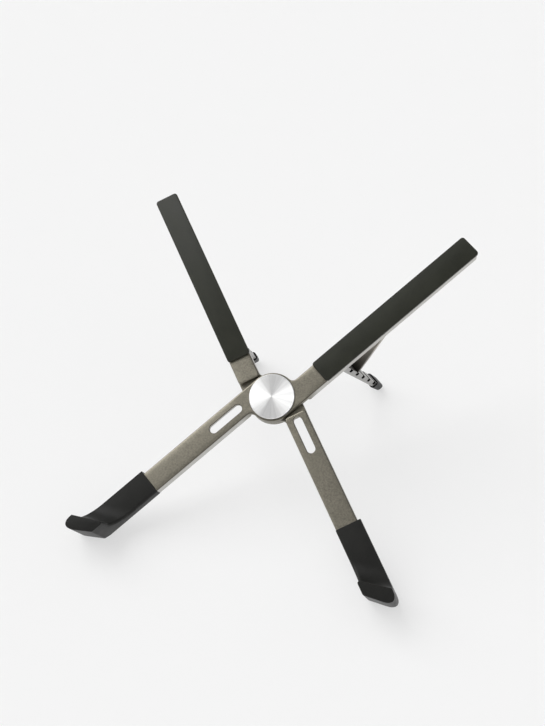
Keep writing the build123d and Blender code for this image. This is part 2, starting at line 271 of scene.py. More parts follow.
class StandBoots(bpy.types.PropertyGroup):
    """Rubber hooks on the front ends."""

    start: length_setting("Boot start", "Distance of the boot's mouth from the pivot", 0.0789)
    roof: length_setting("Roof", "How far the boot stands above the bar", 0.0008)
    floor: length_setting("Floor", "How far the boot stands below the bar", 0.0001)
    outer_swell: length_setting("Outer swell", "How far the boot stands out on the outer side", 0.0016)
    inner_swell: length_setting("Inner swell", "How far the boot stands out on the inner side", 0.00025)
    lip_overhang: length_setting("Lip overhang", "Reach of the lip's foot beyond the bar's end", 0.0036)
    lip_height: length_setting("Lip height", "Height of the lip above the deck", 0.0204)
    lip_thickness: length_setting("Lip thickness", "Thickness of the lip at its foot", 0.00755)
    lip_lean: length_setting("Lip lean", "How far the lip's front leans back", 0.0010)
    lip_skew: angle_setting("Lip skew", "Turn of the lip's front face", radians(5.5))
    throat: length_setting("Throat radius", "Hollow curve behind the lip", 0.0100)
    corner: length_setting("Corner radius", "Round of the lip's outer corner", 0.0041)
    end: length_setting("End radius", "Round of the lip's inner end", 0.0013)
    edge: length_setting("Edge width", "Width of the rounded moulded edges", 0.0014)
    inner_edge: length_setting("Inner edge width", "Width of the throat's rounded inner edge", 0.0021)
    seat_depth: length_setting("Seat depth", "How far the bar is stepped in under the boot", 0.0010)
    fit: length_setting("Fit", "Gap between the bar and the rubber", 0.00002)
    colour: colour_setting("Boot colour", "Soft satin black", (0.009, 0.009, 0.008))


class StandLegs(bpy.types.PropertyGroup):
    """Finish of the notched legs and their struts, and the rubber caps on the legs' ends."""

    leg_width: length_setting("Leg width", "Width of a leg", 0.0072)
    leg_thickness: length_setting("Leg thickness", "Thickness of a leg", 0.0036)
    leg_length: length_setting("Leg length", "From the hinge to the cap's sole", 0.1000)
    leg_drop: length_setting("Leg drop", "Distance of the notched face from the hinge", 0.0011)
    notch_start: length_setting("Notch start", "Where the row of notches starts, from the hinge", 0.0170)
    notch_depth: length_setting("Notch depth", "Depth of a notch", 0.0020)
    strut_length: length_setting("Strut length", "From the strut's hinge to its toe", 0.0446)
    # Length of the painted shade that darkens a strut towards its toe
    toe_shade_fade: length_setting("Toe fade", "Length over which a strut darkens towards its toe", 0.0260)
    cap_length: length_setting("Cap length", "Length of a cap", 0.0170)
    cap_floor: length_setting("Cap floor", "Rubber under the leg's end", 0.0030)
    cap_rim: length_setting("Cap rim", "Rubber round the leg near the cap's mouth", 0.0009)
    cap_bevel: length_setting("Cap bevel", "Length of the bevel at the cap's mouth", 0.0003)
    cap_band: length_setting("Cap band", "How far from its mouth the cap keeps its full rim", 0.0012)
    cap_flare: length_setting("Cap flare", "Rubber round the leg at the cap's sole", 0.0006)
    cap_corner: length_setting("Cap corner", "Round of the cap's long corners", 0.0015)
    cap_end: length_setting("Cap end", "Round of the cap's sole", 0.0011)
    cap_fit: length_setting("Cap fit", "Gap between the leg and the rubber", 0.00002)
    metal_colour: colour_setting("Leg colour", "Light grey satin metal", (0.37, 0.365, 0.355))
    strut_colour: colour_setting("Strut colour", "Warm grey metal of the struts", (0.46, 0.43, 0.38))
    cap_colour: colour_setting("Cap colour", "Satin black rubber", (0.014, 0.014, 0.014))


class StandStage(bpy.types.PropertyGroup):
    """Floor, light and camera."""

    floor_colour: colour_setting("Floor colour", "Plain pale floor", (0.893, 0.893, 0.893))
    floor_glow: share_setting("Floor glow", "Share of the floor's brightness that shadows leave", 0.64)
    floor_size: length_setting("Floor size", "Width of the floor", 20.0)
    cove: length_setting("Cove radius", "Radius of the curve from floor to wall", 4.0)
    cove_sides: IntProperty(name="Cove sides", description="Facets round the floor", default=96, min=12)
    cove_steps: IntProperty(name="Cove steps", description="Facets up the curve", default=12, min=3)
    even_light: strength_setting("Even light", "Strength of the light from all round", 0.43)
    key_light: strength_setting("Key light", "Strength of the main lamp", 2.4)
    key_direction: FloatVectorProperty(
        name="Key direction", description="Which way the main lamp shines",
        default=(0.70, -0.05, -0.71), size=3, subtype="XYZ",
    )
    fill_light: strength_setting("Fill light", "Strength of the second lamp", 0.5)
    fill_direction: FloatVectorProperty(
        name="Fill direction", description="Which way the second lamp shines",
        default=(-0.85, 0.40, -0.30), size=3, subtype="XYZ",
    )
    lamp_angle: angle_setting("Lamp angle", "How wide the lamps look", radians(60))
    lens: FloatProperty(name="Lens", description="Focal length in millimetres", default=51.757, unit="CAMERA")
    camera_place: FloatVectorProperty(
        name="Camera place", description="Place of the camera in the deck's frame",
        default=(0.11905, -0.10658, 0.53460), size=3, subtype="TRANSLATION",
    )
    camera_turn: FloatVectorProperty(
        name="Camera turn", description="Turn of the camera in the deck's frame",
        default=(radians(15.450), radians(9.641), radians(13.364)), size=3, subtype="EULER",
    )


class Finish:
    """Nodes of one procedural material round a principled shader."""

    def __init__(self, name):
        self.material = bpy.data.materials.new(name)
        self.material.use_nodes = True
        self.tree = self.material.node_tree
        self.tree.nodes.clear()
        self.shader = self.add("ShaderNodeBsdfPrincipled")
        self.output = self.add("ShaderNodeOutputMaterial")
        self.join(self.shader.outputs["BSDF"], self.output.inputs["Surface"])
        self.coordinates = self.add("ShaderNodeTexCoord")

    def add(self, kind, **settings):
        """New node with the given settings."""
        node = self.tree.nodes.new(kind)
        for name, value in settings.items():
            setattr(node, name, value)
        return node

    def join(self, source, target):
        """Link between two sockets."""
        self.tree.links.new(source, target)

    def set(self, **values):
        """Constant values on the shader's own sockets."""
        for name, value in values.items():
            self.shader.inputs[name.replace("_", " ")].default_value = value

    def paint(self, colour):
        """Colour of the surface, from a socket."""
        self.join(colour, self.shader.inputs["Base Color"])

    def roughen(self, roughness):
        """Roughness of the surface, from a socket."""
        self.join(roughness, self.shader.inputs["Roughness"])

    def noise(self, size, detail=2.0, roughness=0.5):
        """Noise in the piece's own frame, with features about as large as size."""
        node = self.add("ShaderNodeTexNoise")
        node.inputs["Scale"].default_value = 1.0 / size
        node.inputs["Detail"].default_value = detail
        node.inputs["Roughness"].default_value = roughness
        self.join(self.coordinates.outputs["Object"], node.inputs["Vector"])
        return node.outputs["Fac"]

    def ripple(self, value, scale):
        """Noise along one running value."""
        node = self.add("ShaderNodeTexNoise", noise_dimensions="1D")
        node.inputs["Scale"].default_value = scale
        node.inputs["Detail"].default_value = 3.0
        self.join(value, node.inputs["W"])
        return node.outputs["Fac"]

    def spread(self, value, low, high, out_low=0.0, out_high=1.0):
        """Value taken from the range low to high to another range, and kept inside it."""
        node = self.add("ShaderNodeMapRange")
        node.inputs["From Min"].default_value = low
        node.inputs["From Max"].default_value = high
        node.inputs["To Min"].default_value = out_low
        node.inputs["To Max"].default_value = out_high
        self.join(value, node.inputs["Value"])
        return node.outputs["Result"]

    def between(self, share, ends):
        """Value that runs between two ends as a share runs from 0 to 1."""
        return self.spread(share, 0.0, 1.0, *ends)

    def math(self, operation, first, second=None):
        """One sum on sockets or plain numbers."""
        node = self.add("ShaderNodeMath", operation=operation)
        for socket, value in zip(node.inputs, (first, second)):
            if isinstance(value, (int, float)):
                socket.default_value = value
            elif value is not None:
                self.join(value, socket)
        return node.outputs["Value"]

    def product(self, first, second):
        """Product of two sockets or plain numbers."""
        return self.math("MULTIPLY", first, second)

    def blend(self, factor, first, second):
        """Colour between two colours, each a socket or a plain colour."""
        node = self.add("ShaderNodeMix", data_type="RGBA")
        colour_inputs = [socket for socket in node.inputs if socket.type == "RGBA"]
        self.join(factor, node.inputs["Factor"])
        for socket, value in zip(colour_inputs, (first, second)):
            if isinstance(value, bpy.types.NodeSocket):
                self.join(value, socket)
            else:
                socket.default_value = value
        return next(socket for socket in node.outputs if socket.type == "RGBA")

    def tint(self, factor, colour, tints):
        """Colour that runs from a dark to a light tint of a plain colour."""
        dark, light = tints
        return self.blend(factor, shade(colour, dark), shade(colour, light))

    def toward(self, direction):
        """How far a face points in a direction of the piece's own frame, from -1 to 1."""
        node = self.add("ShaderNodeVectorMath", operation="DOT_PRODUCT")
        self.join(self.coordinates.outputs["Normal"], node.inputs[0])
        node.inputs[1].default_value = direction
        return node.outputs["Value"]

    def reach(self, place, axis):
        """Distance along one axis of a frame, from that frame's origin."""
        direction = place.to_3x3().col[axis]
        node = self.add("ShaderNodeVectorMath", operation="DOT_PRODUCT")
        self.join(self.coordinates.outputs["Object"], node.inputs[0])
        node.inputs[1].default_value = direction
        return self.math("SUBTRACT", node.outputs["Value"], place.translation.dot(direction))

    def bump(self, height, distance, strength=1.0):
        """Fine relief of the surface."""
        node = self.add("ShaderNodeBump")
        node.inputs["Distance"].default_value = distance
        node.inputs["Strength"].default_value = strength
        self.join(height, node.inputs["Height"])
        self.join(node.outputs["Normal"], self.shader.inputs["Normal"])


def shade(colour, factor=1.0):
    """Colour made lighter or darker, with full alpha."""
    return (*(min(1.0, channel * factor) for channel in colour), 1.0)


def bar_finish(settings, arm):
    """Satin gunmetal with a fine sparkle, a softly crowned top face, lighter sides and painted shade on the
    top's rounded right edge.
    """
    finish = Finish(arm + "_bar_metal")
    finish.set(Metallic=1.0)
    place = arm_frame(arm)
    along = finish.reach(place, 1)
    hub_end, bar_start = (settings.hub_radius * share for share in HUB_FADE)
    straight = finish.spread(finish.math("ABSOLUTE", along), hub_end, bar_start)
    sparkle = finish.spread(finish.noise(settings.grain, roughness=BREAKUP), *SPARKLE_BAND)
    side = finish.product(finish.spread(finish.toward(DECK_NORMAL), *FLANK_TILT, 1.0, 0.0), straight)
    top = bar_top_colour(finish, settings, place, sparkle)
    finish.paint(finish.blend(side, top, shade(settings.side_colour)))
    rougher = finish.product(side, settings.side_roughness)
    finish.roughen(finish.math("ADD", finish.between(sparkle, BAR_ROUGHNESS), rougher))
    centre = finish.product(finish.math("SIGN", along), bar_offset(arm))
    across = finish.math("SUBTRACT", finish.reach(place, 0), centre)
    crown = bar_crown(finish, settings, across, straight)
    finish.bump(finish.math("ADD", crown, finish.product(sparkle, SPARKLE_RELIEF)), distance=1.0)
    return finish.material


def bar_top_colour(finish, settings, place, sparkle):
    """Colour of a bar's top: sparkle under faint clouds, and painted shade on its rounded right edge, which
    is turned from the key lamp.
    """
    cloud = finish.spread(finish.noise(CLOUD_SIZE, detail=3.0), *CLOUD_BAND, 0.0, CLOUD_COVER)
    grainy = finish.tint(sparkle, settings.top_colour, SPARKLE_TINTS)
    clouded = finish.blend(cloud, grainy, shade(settings.top_colour, CLOUD_TINT))
    # Painted shade: a dark band on the rounded edge that faces right, away from the key lamp
    rise = finish.toward(DECK_NORMAL)
    coming = finish.spread(rise, *SHADE_LINE_START_TILT)
    going = finish.spread(rise, *SHADE_LINE_END_TILT, 1.0, 0.0)
    right = finish.spread(finish.toward(place.to_3x3().col[0]), *SHADE_LINE_SIDE_TILT, 0.0, EDGE_SHADE_COVER)
    line = finish.product(finish.product(coming, going), right)
    return finish.blend(line, clouded, shade(settings.top_colour, EDGE_SHADE_TINT))


def bar_crown(finish, settings, across, straight):
    """Height of the straight bar's top face, which falls towards its long edges."""
    ratio = finish.math("DIVIDE", across, settings.width / 2)
    square = finish.product(ratio, ratio)
    fall = finish.product(finish.product(square, square), straight)
    return finish.product(fall, -settings.crown)


def satin_metal(name, colour, grain, roughness):
    """Satin metal with faint grain, still unpainted, and its grained colour."""
    finish = Finish(name)
    finish.set(Metallic=1.0)
    grains = finish.spread(finish.noise(grain, detail=3.0, roughness=BREAKUP), *GRAIN_BAND)
    finish.roughen(finish.between(grains, roughness))
    finish.bump(grains, FINE_RELIEF, strength=0.4)
    return finish, finish.tint(grains, colour, METAL_TINTS)


def steel_finish(name):
    """Plain turned steel."""
    finish, plain = satin_metal(name, STEEL, grain=0.0006, roughness=STEEL_ROUGHNESS)
    finish.paint(plain)
    return finish.material


def leg_finish(settings, side):
    """Pale satin metal, with painted shade that turns the faces inside the notches black."""
    colour = settings.metal_colour
    finish, plain = satin_metal(side + "_leg_metal", colour, METAL_GRAIN, LEG_ROUGHNESS)
    place = fold_frame(side, "leg")
    # Painted shade: faces inside the notches turn black, while the leg's outer sides stay plain
    near, far = NOTCH_FADE
    notch_depth = settings.notch_depth
    depth = finish.math("ADD", finish.reach(place, 2), settings.leg_drop)
    below = finish.spread(depth, -far, -near, 1.0, 0.0)
    above = finish.spread(depth, -notch_depth - far, -notch_depth - near)
    inside = finish.product(below, above)
    reached = finish.spread(finish.reach(place, 1), settings.notch_start - near, settings.notch_start)
    sidelong = finish.math("ABSOLUTE", finish.toward(place.to_3x3().col[0]))
    inner = finish.product(reached, finish.spread(sidelong, *LEG_SIDE_TILT, 1.0, 0.0))
    finish.paint(finish.blend(finish.product(inside, inner), plain, shade(NOTCH_SHADE)))
    return finish.material


def strut_finish(settings, side):
    """Satin metal with painted shade that darkens it towards the toe, where it meets the leg."""
    colour = settings.strut_colour
    finish, plain = satin_metal(side + "_strut_metal", colour, METAL_GRAIN, STRUT_ROUGHNESS)
    along = finish.reach(fold_frame(side, "strut"), 1)
    toe_end = settings.strut_length
    # Painted shade: the strut darkens over the last stretch towards its toe
    toe = finish.spread(along, toe_end - settings.toe_shade_fade, toe_end, 0.0, TOE_SHADE_COVER)
    finish.paint(finish.blend(toe, plain, shade(colour, TOE_SHADE_TINT)))
    return finish.material


def spun_finish(settings):
    """Bright aluminium spun in rings round the disc's own axis, with faint rays."""
    finish = Finish("disc_metal")
    finish.set(Metallic=1.0, Anisotropic=0.72, Anisotropic_Rotation=0.147)
    radius = finish.add("ShaderNodeVectorMath", operation="LENGTH")
    finish.join(finish.coordinates.outputs["Object"], radius.inputs[0])
    ring = finish.spread(finish.ripple(radius.outputs["Value"], RING_SCALE), *GRAIN_BAND)
    turn = finish.add("ShaderNodeTexGradient", gradient_type="RADIAL")
    finish.join(finish.coordinates.outputs["Object"], turn.inputs["Vector"])
    ray = finish.spread(finish.ripple(turn.outputs["Fac"], RAY_SCALE), *GRAIN_BAND)
    spun = finish.tint(ring, settings.colour, RING_TINTS)
    finish.paint(finish.blend(ray, shade(settings.colour, RAY_TINT), spun))
    finish.roughen(finish.between(ray, DISC_ROUGHNESS))
    tangent = finish.add("ShaderNodeTangent", direction_type="RADIAL", axis="Z")
    finish.join(tangent.outputs["Tangent"], finish.shader.inputs["Tangent"])
    finish.bump(ring, RING_RELIEF, strength=0.3)
    return finish.material


def rubber_finish(name, colour, grain, gloss, roughness, sheen=0.0):
    """Moulded rubber with a fine grain, faint dust and, where asked, a pale sheen at glancing angles."""
    finish = Finish(name)
    finish.set(Specular_IOR_Level=gloss, Sheen_Weight=sheen, Sheen_Roughness=0.25)
    grains = finish.spread(finish.noise(grain), *GRAIN_BAND)
    dust = finish.spread(finish.noise(DUST_SIZE, detail=4.0, roughness=DUST_BREAKUP), *DUST_BAND)
    mottled = finish.tint(grains, colour, RUBBER_TINTS)
    finish.paint(finish.blend(dust, mottled, shade(colour, DUST_TINT)))
    finish.roughen(finish.between(dust, roughness))
    finish.bump(grains, RUBBER_RELIEF, strength=0.6)
    return finish.material


def plastic_finish(name):
    """Hard moulded plastic."""
    return rubber_finish(name, PLASTIC, grain=0.0005, gloss=0.32, roughness=PLASTIC_ROUGHNESS)


def cap_finish(settings, side):
    """Smooth rubber, with painted shade that turns the face of the cap's mouth deeper black."""
    finish = Finish(side + "_cap_rubber")
    finish.set(Specular_IOR_Level=0.15)
    grains = finish.spread(finish.noise(CAP_GRAIN), *GRAIN_BAND)
    mottled = finish.tint(grains, settings.cap_colour, RUBBER_TINTS)
    hingeward = -fold_frame(side, "leg").to_3x3().col[1]
    # Painted shade: faces turned back to the hinge, the face of the cap's mouth, go black
    mouth = finish.spread(finish.toward(hingeward), *CAP_MOUTH_TILT)
    finish.paint(finish.blend(mouth, mottled, shade(MOUTH_SHADE)))
    finish.roughen(finish.between(grains, CAP_ROUGHNESS))
    finish.bump(grains, FINE_RELIEF, strength=0.5)
    return finish.material


def floor_finish(settings):
    """Pale matt floor that glows a little where it is seen or mirrored, which keeps its shadows faint."""
    finish = Finish("floor")
    finish.set(Roughness=0.9, Specular_IOR_Level=0.1, Base_Color=shade(settings.floor_colour))
    glow = finish.add("ShaderNodeEmission")
    glow.inputs["Color"].default_value = shade(settings.floor_colour)
    path = finish.add("ShaderNodeLightPath")
    seen = finish.math("MAXIMUM", path.outputs["Is Camera Ray"], path.outputs["Is Glossy Ray"])
    seen = finish.math("MAXIMUM", seen, path.outputs["Is Transmission Ray"])
    mixed = finish.add("ShaderNodeMixShader")
    finish.join(finish.product(seen, settings.floor_glow), mixed.inputs[0])
    finish.join(finish.shader.outputs["BSDF"], mixed.inputs[1])
    finish.join(glow.outputs["Emission"], mixed.inputs[2])
    finish.join(mixed.outputs["Shader"], finish.output.inputs["Surface"])
    return finish.material


def link_object(name, data):
    """New object of the scene, made of a mesh, a lamp or a camera."""
    made = bpy.data.objects.new(name, data)
    bpy.context.scene.collection.objects.link(made)
    return made


def mesh_object(name, builder, material):
    """Object made from a filled bmesh."""
    mesh = bpy.data.meshes.new(name)
    builder.to_mesh(mesh)
    builder.free()
    mesh.materials.append(material)
    return link_object(name, mesh)


def new_piece(name, builder, place, body, slot, material, *nodes):
    """Object made from a filled bmesh, riding on a body and standing for CAD nodes."""
    piece = mesh_object(name, builder, material)
    piece.matrix_world = place
    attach(piece, body)
    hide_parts(*nodes)


def dress_node(name, material):
    """Finish on a CAD node that stays."""
    mesh = frame["nodes"][name].data
    mesh.materials.clear()
    mesh.materials.append(material)


def quarter_turn(steps):
    """Sines and cosines of a quarter turn in even steps, from its first step to its end."""
    angles = [pi / 2 * step / steps for step in range(1, steps + 1)]
    return [(sin(angle), cos(angle)) for angle in angles]


def rounded_loop(width, length, radius, steps):
    """Corner-rounded rectangle as points in turn, anticlockwise."""
    points = []
    corners = ((1, 1), (-1, 1), (-1, -1), (1, -1))
    for quarter, (across, along) in enumerate(corners):
        middle = Vector((across * (width / 2 - radius), along * (length / 2 - radius)))
        for step in range(steps + 1):
            angle = pi / 2 * (quarter + step / steps)
            points.append(middle + radius * Vector((cos(angle), sin(angle))))
    return points


def ring_points(radius, level, count):
    """Points round a circle about the Z axis, anticlockwise."""
    turns = [2 * pi * step / count for step in range(count)]
    return [Vector((radius * cos(turn), radius * sin(turn), level)) for turn in turns]


def bridge_rings(builder, rings):
    """Faces between each ring of vertices and the next."""
    for lower, upper in zip(rings, rings[1:]):
        for index in range(len(lower)):
            following = (index + 1) % len(lower)
            builder.faces.new((lower[index], lower[following], upper[following], upper[index]))


def add_loops(builder, loops):
    """Rings of vertices on loops of points, with faces between them."""
    rings = [[builder.verts.new(point) for point in loop] for loop in loops]
    bridge_rings(builder, rings)
    return rings


def skin_loops(loops):
    """Closed solid skinned over loops of points, with a face on the first and the last."""
    builder = bmesh.new()
    rings = add_loops(builder, loops)
    builder.faces.new(list(reversed(rings[0])))
    builder.faces.new(rings[-1])
    bmesh.ops.recalc_face_normals(builder, faces=builder.faces)
    return builder


def smooth(builder, sharp_angle):
    """Smooth shading with sharp edges where faces meet at more than an angle."""
    for face in builder.faces:
        face.smooth = True
    for edge in builder.edges:
        edge.smooth = edge.is_manifold and edge.calc_face_angle(0.0) < sharp_angle


def round_edge(builder, first, second, radius):
    """Edge between two vertices rounded to a true radius."""
    edge = next(edge for edge in first.link_edges if second in edge.verts)
    offset = radius * tan(edge.calc_face_angle() / 2)
    bmesh.ops.bevel(builder, geom=[edge], offset=offset, segments=LIP_END_STEPS, profile=0.5, affect="EDGES")


def soften_edges(builder, edges, width):
    """Moulded edges rounded to a width."""
    bmesh.ops.bevel(
        builder, geom=edges, offset=width, offset_type="WIDTH", segments=MOULDED_EDGE_STEPS, profile=0.5,
        affect="EDGES", clamp_overlap=True,
    )


def cut_at_floor(builder, place):
    """What lies under the floor taken off, and the cut closed."""
    inverse = place.inverted()
    level = inverse @ Vector((0.0, 0.0, 0.0))
    up = inverse.to_3x3() @ Vector((0.0, 0.0, 1.0))
    geometry = builder.verts[:] + builder.edges[:] + builder.faces[:]
    cut = bmesh.ops.bisect_plane(builder, geom=geometry, plane_co=level, plane_no=up, clear_inner=True)
    rim = [edge for edge in cut["geom_cut"] if isinstance(edge, bmesh.types.BMEdge)]
    bmesh.ops.holes_fill(builder, edges=rim)
    bmesh.ops.recalc_face_normals(builder, faces=builder.faces)


class LAPTOPSTAND_OT_bars(bpy.types.Operator):
    """Satin gunmetal on the two crossing bars."""

    bl_idname = "laptop_stand.bars"
    bl_label = "Bars"

    def execute(self, context):
        for arm in ARM_TURN:
            dress_node(arm + "_arm", bar_finish(context.scene.stand_bars, arm))
        return {"FINISHED"}


class LAPTOPSTAND_OT_pivot(bpy.types.Operator):
    """Spun cover disc, and plain finishes on the bolt, nut, washers and plug inside."""

    bl_idname = "laptop_stand.pivot"
    bl_label = "Pivot"

    def execute(self, context):
        settings = context.scene.stand_pivot
        builder = self.disc(settings)
        new_piece("spun_disc", builder, DECK, "upper", "disc_metal", spun_finish(settings), "pivot_disc")
        steel = steel_finish("steel")
        for name in ("pivot_bolt", "pivot_nut", "spring_washer"):
            dress_node(name, steel)
        plastic = plastic_finish("hard_plastic")
        for name in ("friction_washer", "pivot_plug"):
            dress_node(name, plastic)
        return {"FINISHED"}

    def disc(self, settings):
        """Disc with both rims chamfered, in the deck's frame."""
        radius = settings.radius
        low = -settings.seat_depth
        high = low + settings.thickness
        profile = [
            (radius - settings.chamfer, low),
            (radius, low + settings.chamfer),
            (radius, high - settings.chamfer),
            (radius - settings.chamfer, high),
        ]
        profile += [(radius * share, high) for share in DISC_RINGS]
        builder = skin_loops([ring_points(radius, level, settings.segments) for radius, level in profile])
        smooth(builder, DISC_SHARP)
        return builder


class LAPTOPSTAND_OT_pads(bpy.types.Operator):
    """Long satin rubber pads on the rear halves."""

    bl_idname = "laptop_stand.pads"
    bl_label = "Pads"

    def execute(self, context):
        settings = context.scene.stand_pads
        finish = rubber_finish(
            "pad_rubber", settings.colour, grain=0.0006, gloss=0.32, roughness=PAD_ROUGHNESS,
        )
        for side in SIDES:
            arm = REAR_ARM[side]
            middle = Vector((leg_hinge(side).x, settings.start + settings.length / 2, 0.0))
            builder = self.strip(settings)
            place = arm_frame(arm) @ Matrix.Translation(middle)
            bmesh.ops.transform(builder, matrix=place, verts=builder.verts)
            new_piece(side + "_pad_strip", builder, Matrix(), arm, "pad_rubber", finish, side + "_pad")
        return {"FINISHED"}

    def strip(self, settings):
        """Pad with its top edge rounded, about its own middle."""
        loops = [self.outline(settings, 0.0, level) for level in (0.0, settings.thickness - settings.edge)]
        for rise, run in quarter_turn(PAD_EDGE_STEPS):
            inset = settings.edge * (1 - run)
            loops.append(self.outline(settings, inset, settings.thickness - settings.edge * (1 - rise)))
        builder = skin_loops(loops)
        smooth(builder, PAD_SHARP)
        return builder

    def outline(self, settings, inset, level):
        """Outline of the pad at a level, drawn in by inset."""
        width = settings.width - 2 * inset
        length = settings.length - 2 * inset
        points = rounded_loop(width, length, settings.corner - inset, PAD_CORNER_STEPS)
        return [Vector((point.x, point.y, level)) for point in points]


class LAPTOPSTAND_OT_boots(bpy.types.Operator):
    """Rubber hooks on the front ends, each with a lip square to the open stand."""

    bl_idname = "laptop_stand.boots"
    bl_label = "Boots"

    def execute(self, context):
        bars = context.scene.stand_bars
        settings = context.scene.stand_boots
        finish = rubber_finish(
            "boot_rubber", settings.colour, grain=0.0007, gloss=0.22, roughness=BOOT_ROUGHNESS, sheen=0.12,
        )
        for side in SIDES:
            arm = FRONT_ARM[side]
            place = arm_frame(arm)
            builder, hidden, throat = self.hook(settings, bars)
            if arm == "lower":
                bmesh.ops.scale(builder, vec=(-1, 1, 1), verts=builder.verts)
                bmesh.ops.reverse_faces(builder, faces=builder.faces)
            cut_at_floor(builder, place)
            throat_edges = [edge for edge in builder.edges if throat.issuperset(edge.verts)]
            soften_edges(builder, throat_edges, settings.inner_edge)
            sharp = [edge for edge in builder.edges if edge.calc_face_angle(0.0) > MOULDED_EDGE]
            moulded = [edge for edge in sharp if not hidden.issuperset(edge.verts)]
            soften_edges(builder, moulded, settings.edge)
            smooth(builder, MOULDED_SHARP)
            bmesh.ops.transform(builder, matrix=place, verts=builder.verts)
            new_piece(side + "_boot", builder, Matrix(), arm, "boot_rubber", finish, side + "_hook_boot")
        return {"FINISHED"}

    def hook(self, settings, bars):
        """Hook of the upper arm, and the corners of its mouth and pocket and of its throat's inner edge."""
        builder = bmesh.new()
        offset = abs(leg_hinge("right").x)
        outer = -offset - bars.width / 2 - settings.outer_swell
        inner = -offset + bars.width / 2 + settings.inner_swell
        walls = []
        for across in (outer, inner):
            points = self.profile(settings, bars, offset, across)
            walls.append([builder.verts.new(point) for point in points])
        outer_wall, inner_wall = walls
        count = len(outer_wall)
        mouth = count - 2
        for index in range(count):
            following = (index + 1) % count
            if index != mouth:
                corners = (outer_wall[index], inner_wall[index], inner_wall[following], outer_wall[following])
                builder.faces.new(corners)
        builder.faces.new(outer_wall)
        builder.faces.new(list(reversed(inner_wall)))
        rim = (outer_wall[-2], inner_wall[-2], inner_wall[-1], outer_wall[-1])
        hidden = self.pocket(builder, settings, bars, offset, rim).union(rim)
        bmesh.ops.recalc_face_normals(builder, faces=builder.faces)
        round_edge(builder, inner_wall[0], inner_wall[1], settings.end)
        round_edge(builder, outer_wall[0], outer_wall[1], settings.corner)
        return builder, hidden, set(inner_wall[2:-1])

    def profile(self, settings, bars, offset, across):
        """Outline of the hook on a side plane of the sleeve, from the lip's foot over it to the mouth."""
        low = -bars.height - settings.floor
        lip_front = bars.front_reach * cos(HALF_OPENING) + settings.lip_overhang
        lip_back = settings.lip_thickness - lip_front
        points = []
        for upslope, level in ((-lip_front, low), (settings.lip_lean - lip_front, settings.lip_height)):
            points.append((across, self.lip_face(settings, bars, offset, upslope, across), level))
        throat = settings.throat
        back = [(lip_back, settings.lip_height), (lip_back, settings.roof + throat)]
        for rise, run in quarter_turn(THROAT_STEPS):
            back.append((lip_back + throat * (1 - run), settings.roof + throat * (1 - rise)))
        for upslope, level in back:
            points.append((across, (upslope + across * sin(HALF_OPENING)) / cos(HALF_OPENING), level))
        return points + [(across, -settings.start, settings.roof), (across, -settings.start, low)]

    def lip_face(self, settings, bars, offset, upslope, across):
        """Where a side plane of the sleeve meets the lip's front face, which is turned about its middle."""
        slope = tan(settings.lip_skew)
        middle = bars.front_reach * sin(HALF_OPENING) + offset * cos(HALF_OPENING)
        reach = upslope + slope * middle + across * (sin(HALF_OPENING) + slope * cos(HALF_OPENING))
        return reach / (cos(HALF_OPENING) - slope * sin(HALF_OPENING))

    def pocket(self, builder, settings, bars, offset, rim):
        """Room for the bar's stepped end, from the boot's mouth to the bar's tip, and its corners."""
        half = bars.width / 2 - settings.seat_depth + settings.fit
        high = settings.fit - settings.seat_depth
        low = settings.seat_depth - bars.height - settings.fit
        corners = ((-half, high), (half, high), (half, low), (-half, low))
        rings = [rim]
        for along in (-settings.start, -bars.front_reach - settings.fit):
            rings.append([builder.verts.new((across - offset, along, level)) for across, level in corners])
        bridge_rings(builder, rings)
        builder.faces.new(rings[-1])
        return set(rings[1] + rings[2])


class LAPTOPSTAND_OT_legs(bpy.types.Operator):
    """Notched legs with struts and pins, and rubber caps on the legs' ends."""

    bl_idname = "laptop_stand.legs"
    bl_label = "Legs"

    def execute(self, context):
        settings = context.scene.stand_legs
        steel = steel_finish("pin_steel")
        plastic = plastic_finish("washer_plastic")
        for side in SIDES:
            dress_node(side + "_leg", leg_finish(settings, side))
            dress_node(side + "_strut", strut_finish(settings, side))
            dress_node(side + "_leg_pin", steel)
            dress_node(side + "_strut_pin", steel)
            dress_node(side + "_leg_washers", plastic)
            rubber = cap_finish(settings, side)
            builder = self.cap(settings, fold_frame(side, "leg"))
            leg = side + "_leg"
            new_piece(side + "_cap", builder, Matrix(), leg, "cap_rubber", rubber, side + "_foot_cap")
        return {"FINISHED"}

    def cap(self, settings, place):
        """Cap skinned from the bottom of its pocket over its rim to its sole, in its place on the floor."""
        middle = -settings.leg_drop - settings.leg_thickness / 2
        loops = []
        for along, swell in self.stations(settings):
            width = settings.leg_width + 2 * swell
            thickness = settings.leg_thickness + 2 * swell
            radius = max(CAP_LEAST_CORNER, settings.cap_corner + swell - settings.cap_flare)
            points = rounded_loop(width, thickness, radius, CAP_CORNER_STEPS)
            loops.append([Vector((point.x, along, middle + point.y)) for point in points])
        builder = skin_loops(loops)
        cut_at_floor(builder, place)
        smooth(builder, MOULDED_SHARP)
        bmesh.ops.transform(builder, matrix=place, verts=builder.verts)
        return builder

    def stations(self, settings):
        """Distances down the leg where the cap is drawn, each with how far it stands out from the leg."""
        sole = settings.leg_length
        mouth = sole - settings.cap_length
        turn_start = sole - settings.cap_end
        stations = [
            (sole - settings.cap_floor, settings.cap_fit),
            (mouth, settings.cap_fit),
            (mouth, settings.cap_rim * CAP_BEVEL_SHARE),
            (mouth + settings.cap_bevel, settings.cap_rim),
            (mouth + settings.cap_band, settings.cap_rim),
            (turn_start, settings.cap_flare),
        ]
        for rise, run in quarter_turn(CAP_END_STEPS):
            swell = settings.cap_flare - settings.cap_end * (1 - run)
            stations.append((turn_start + settings.cap_end * rise, swell))
        return stations


